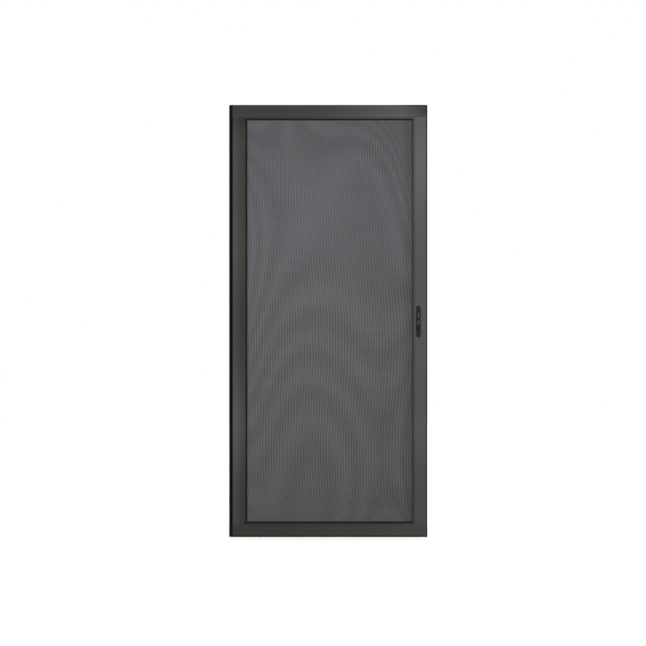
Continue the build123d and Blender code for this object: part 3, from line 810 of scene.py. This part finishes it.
def swept_walls(stations, sides):
    """Quads between neighbouring outlines of a sweep, stored one after the other, clockwise."""
    k = np.arange(sides)
    quads = np.stack([k, k + sides, (k + 1) % sides + sides, (k + 1) % sides], -1)
    return (np.arange(stations - 1)[:, None, None] * sides + quads[None]).reshape(-1, 4).tolist()


first_cap = list(range(sides))
last_cap = [k + (crest_z.size - 1) * sides for k in reversed(first_cap)]
pile_ridge = piece_from(
    "pile_ridge", ridge, swept_walls(crest_z.size, sides) + [first_cap, last_cap], bristle_black,
    "door",
)
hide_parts("seal_pile")

# %% Bristles of the brush
BRISTLE_SPACING, END_MARGIN = 1.3 * MM, 1.5 * MM
ROOT_RADIUS, TIP_RADIUS = 0.38 * MM, 0.28 * MM
ROW_PLACES = np.array([-1.25, -0.65, 0.0, 0.65, 1.25]) * MM
steps = np.arange(low.z + END_MARGIN, high.z - END_MARGIN, BRISTLE_SPACING)
count = steps.size * ROW_PLACES.size
root_z = np.tile(steps, ROW_PLACES.size) + dice.uniform(-0.7, 0.7, count) * MM
root_y = np.repeat(ROW_PLACES, steps.size) + dice.uniform(-0.15, 0.15, count) * MM
reach = dice.uniform(0.0, 0.7, count) * MM
tip_y = np.clip(root_y + dice.uniform(-0.3, 0.3, count) * MM, -1.4 * MM, 1.4 * MM)
tip = np.stack((low.x + reach, tip_y, root_z + dice.uniform(-0.8, 0.8, count) * MM), -1)
root = np.stack((np.full(count, high.x - 1.5 * MM), root_y, root_z), -1)


def bristles(root, tip, root_radius, tip_radius):
    """Three-sided bristles: a triangle round each root and a smaller one round each tip.

    A corner at angle a lies radius * cos a along Y and radius * sin a along Z from the centre. The
    corners are listed clockwise, which turns the faces outward.
    """
    turn = np.radians((330, 210, 90))
    radius = np.array([root_radius, tip_radius])[None, :, None]
    centre = np.stack((root, tip), 1)[:, :, None, :]
    offset = np.zeros((root.shape[0], 2, 3, 3))
    offset[..., 1] = radius * np.cos(turn)
    offset[..., 2] = radius * np.sin(turn)
    return centre + offset


piece_from(
    "pile_bristles", bristles(root, tip, ROOT_RADIUS, TIP_RADIUS), prism_faces(count, 3),
    bristle_black, "door",
)
print("the brush has", count, "bristles")

# %% [markdown]
# ## The screws
# Two countersunk screws hold each pull, two small ones the faceplate, and one at each corner of
# the lock side lets its roller in and out. A screw is a turned shape, so its surface is a list of
# rings. Only the recess isn't round: its rings follow a cross, whose radius at an angle is the
# further of its two bars.

# %% A turned screw with a cross recess
TURN = np.linspace(0.0, 2 * np.pi, 56, endpoint=False)


def cross_radius(bar, arm):
    """Radius of a plus sign at each angle: the larger of min(arm/|cos|, bar/|sin|) of its bars."""
    c, s = np.abs(np.cos(TURN)) + 1e-9, np.abs(np.sin(TURN)) + 1e-9
    return np.maximum(np.minimum(arm / c, bar / s), np.minimum(arm / s, bar / c))


def screw(centre, outward, head, shank, cone, length):
    """Vertices and faces of one screw, head up along outward, from the recess's floor to the tip.

    Ring i has its own radius at each angle and a height along outward. Points are
    centre + radius (cos a * u + sin a * v) + height * outward, with u x v = outward.
    """
    round_ring = np.ones_like(TURN)
    cross = cross_radius(0.13 * head, 0.55 * head)
    rings = [
        (0.75 * cross, -0.45 * head), (cross, 0.0), (0.93 * head * round_ring, 0.0),
        (head * round_ring, -0.08 * head), (shank * round_ring, -0.08 * head - cone),
        (shank * round_ring, -length), (0.6 * shank * round_ring, -length - 0.4 * shank),
    ]
    outward = np.array(outward, float)
    v = np.array((0.0, 0.0, 1.0))
    u = np.cross(v, outward)
    turn = np.cos(TURN)[:, None] * u + np.sin(TURN)[:, None] * v
    points = np.concatenate([r[:, None] * turn + h * outward for r, h in rings])
    floor, tip = -0.5 * head * outward, (-length - 0.6 * shank) * outward
    points = np.concatenate([points, [floor, tip]]) + np.array(centre)
    n = TURN.size
    floor_fan = [[len(rings) * n, a, (a + 1) % n] for a in range(n)]
    last = (len(rings) - 1) * n
    tip_fan = [[last + a, len(rings) * n + 1, last + (a + 1) % n] for a in range(n)]
    return points, swept_walls(len(rings), n) + floor_fan + tip_fan


print("a screw's rings have", TURN.size, "corners")

# %% Put the screws in
PLATE_FACE = 17.0 * MM            # from the door's middle plane to the face of each pull's plate
PULL_SCREW = {"head": 3.3 * MM, "shank": 1.6 * MM, "cone": 1.55 * MM, "length": 9.0 * MM}
PULL_SCREW_HEIGHTS = (0.9475, 1.0785)
FACEPLATE_SCREW_HEIGHTS = (0.9355, 1.0185)
ADJUSTER_HEIGHTS = (0.020, 2.012)


def screws(name, places, outward, material, slot, **size):
    """Several equal screws as one piece."""
    vertices, faces = [], []
    for place in places:
        first = sum(map(len, vertices))
        points, shown = screw(place, outward, **size)
        faces += [[first + i for i in face] for face in shown]
        vertices.append(points)
    return piece_from(name, np.concatenate(vertices), faces, material, "door")


pull_low, pull_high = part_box("pull_outdoor")
pull_x = (pull_low.x + pull_high.x) / 2
for name, side in (("pull_screws_outdoor", -1), ("pull_screws_indoor", 1)):
    screws(
        name, [(pull_x, side * (PLATE_FACE - 0.25 * MM), z) for z in PULL_SCREW_HEIGHTS],
        (0, side, 0), black_oxide, "black_diecast", **PULL_SCREW,
    )
faceplate_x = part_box("latch_faceplate")[1].x
screws(
    "faceplate_screws",
    [(faceplate_x - 0.15 * MM, 0.0, z) for z in FACEPLATE_SCREW_HEIGHTS], (1, 0, 0),
    zinc_plate, "plated_steel", head=1.9 * MM, shank=1.5 * MM, cone=0.3 * MM, length=8.0 * MM,
)
screws(
    "roller_adjusters", [(DOOR_HALF[0] - 6.0 * MM, 0.0, z) for z in ADJUSTER_HEIGHTS], (1, 0, 0),
    zinc_plate, "plated_steel", head=3.2 * MM, shank=2.4 * MM, cone=0.2 * MM, length=22.0 * MM,
)

# %% [markdown]
# ## The floor, the light and the camera
# The picture is a plain studio shot against white. The floor is pale and keeps the door's soft
# shadow. A floor with a stronger lamp on it would also look white, but then the door would be lit
# too hard. So the floor glows a little, to the eye and in reflections only, and the world is white
# to them and dimmer as a lamp. Both feed on Light Path, which tells what kind of ray is looking.

# %% Floor
FLOOR_HALF, FLOOR_GLOW = 9.0, 0.45


def background_rays(tree):
    """1 for a ray that shows the background to the eye: camera, glossy or transmission; else 0."""
    rays = add(tree, "LightPath").outputs
    seen = rays["Is Camera Ray"]
    for kind in ("Is Glossy Ray", "Is Transmission Ray"):
        seen = add(tree, "Math", {0: seen, 1: rays[kind]}, operation="MAXIMUM").outputs[0]
    return seen


floor_material, tree, bsdf = start_material(
    "pale_studio_floor", Base_Color=tone("#f2f2f0"), Roughness=0.9, Specular_IOR_Level=0.0
)[:3]
glow = add(tree, "Emission", {"Color": tone("#ffffff"), "Strength": FLOOR_GLOW}).outputs[0]
off = add(tree, "Emission", {"Strength": 0.0}).outputs[0]
lift = add(tree, "MixShader", {0: background_rays(tree), 1: off, 2: glow}).outputs[0]
whole = add(tree, "AddShader", {0: bsdf.outputs[0], 1: lift}).outputs[0]
tree.links.new(whole, tree.nodes["Material Output"].inputs["Surface"])

floor_mesh = bpy.data.meshes.new("studio_floor")
floor_corners = [
    (x * FLOOR_HALF, y * FLOOR_HALF, cad_box[0].z) for x, y in ((-1, -1), (1, -1), (1, 1), (-1, 1))
]
floor_mesh.from_pydata(floor_corners, [], [(0, 1, 2, 3)])
floor_mesh.materials.append(floor_material)
floor = bpy.data.objects.new("studio_floor", floor_mesh)
bpy.context.scene.collection.objects.link(floor)
print("floor at z", round(cad_box[0].z, 4))

# %% World
WORLD_AS_LAMP = 0.75
world = bpy.data.worlds.new("white_studio")
bpy.context.scene.world = world
world.use_nodes = True
tree = world.node_tree
strength = add(
    tree, "MapRange", {"Value": background_rays(tree), "To Min": WORLD_AS_LAMP, "To Max": 1.0}
).outputs[0]
background = tree.nodes["Background"]
background.inputs["Color"].default_value = tone("#ffffff")
tree.links.new(strength, background.inputs["Strength"])
print("the world is white, and", WORLD_AS_LAMP, "times that as a lamp")

# %% [markdown]
# Anodised faces show where the lamps are: each lamp's reflection is a bright stretch along a
# member. In the photograph the right stile is bright from end to end, most of all high up, and the
# left one only above and below its middle. One large lamp would brighten everything evenly. Five
# soft ones, each aimed at its stretch of the frame, give that pattern: three at the right and two
# weaker ones at the left.

# %% Lamps


def softbox(name, centre, target, size, power):
    """A rectangular lamp that faces a point. size is its width and height in metres."""
    lamp = bpy.data.lights.new(name, "AREA")
    lamp.shape = "RECTANGLE"
    lamp.size, lamp.size_y = size
    lamp.energy = power
    holder = bpy.data.objects.new(name, lamp)
    holder.location = centre
    holder.visible_camera = False
    aim = Vector(target) - Vector(centre)
    holder.rotation_euler = aim.to_track_quat("-Z", "Y").to_euler()
    bpy.context.scene.collection.objects.link(holder)
    print(name, power, "W")


softbox("key_softbox", (0.568, -2.4, 1.97), (0.34, 0.0, 1.58), (0.35, 0.35), 4.4)
softbox("top_softbox", (0.288, -2.4, 2.30), (0.17, 0.0, 1.78), (0.35, 0.35), 2.4)
softbox("tall_right_softbox", (0.568, -2.4, 1.0), (0.34, 0.0, 1.0), (0.35, 1.6), 5.7)
softbox("upper_left_softbox", (-0.563, -2.4, 1.49), (-0.34, 0.0, 1.29), (0.35, 0.35), 1.8)
softbox("lower_left_softbox", (-0.563, -2.4, 0.387), (-0.34, 0.0, 0.63), (0.35, 0.35), 3.2)

# %% [markdown]
# The photograph looks straight at the door from well back: its edges are square to the picture and
# the sides of the pull don't show. So the camera stands 8 m away, square to the door, with a long
# lens.

# %% Camera
PICTURE_WIDTH = 3.036            # metres of the door's front that the square picture spans
PICTURE_MIDDLE = (-0.0299, 1.0063)
CAMERA_AWAY = 8.0
DOOR_FRONT = -0.0125
camera_data = bpy.data.cameras.new("studio_camera")
camera_data.lens = camera_data.sensor_width * CAMERA_AWAY / PICTURE_WIDTH
camera = bpy.data.objects.new("studio_camera", camera_data)
camera.location = (PICTURE_MIDDLE[0], DOOR_FRONT - CAMERA_AWAY, PICTURE_MIDDLE[1])
camera.rotation_euler = (np.pi / 2, 0, 0)
bpy.context.scene.collection.objects.link(camera)
bpy.context.scene.camera = camera
bpy.context.scene.view_settings.view_transform = "Standard"
print("lens", round(camera_data.lens, 1), "mm")
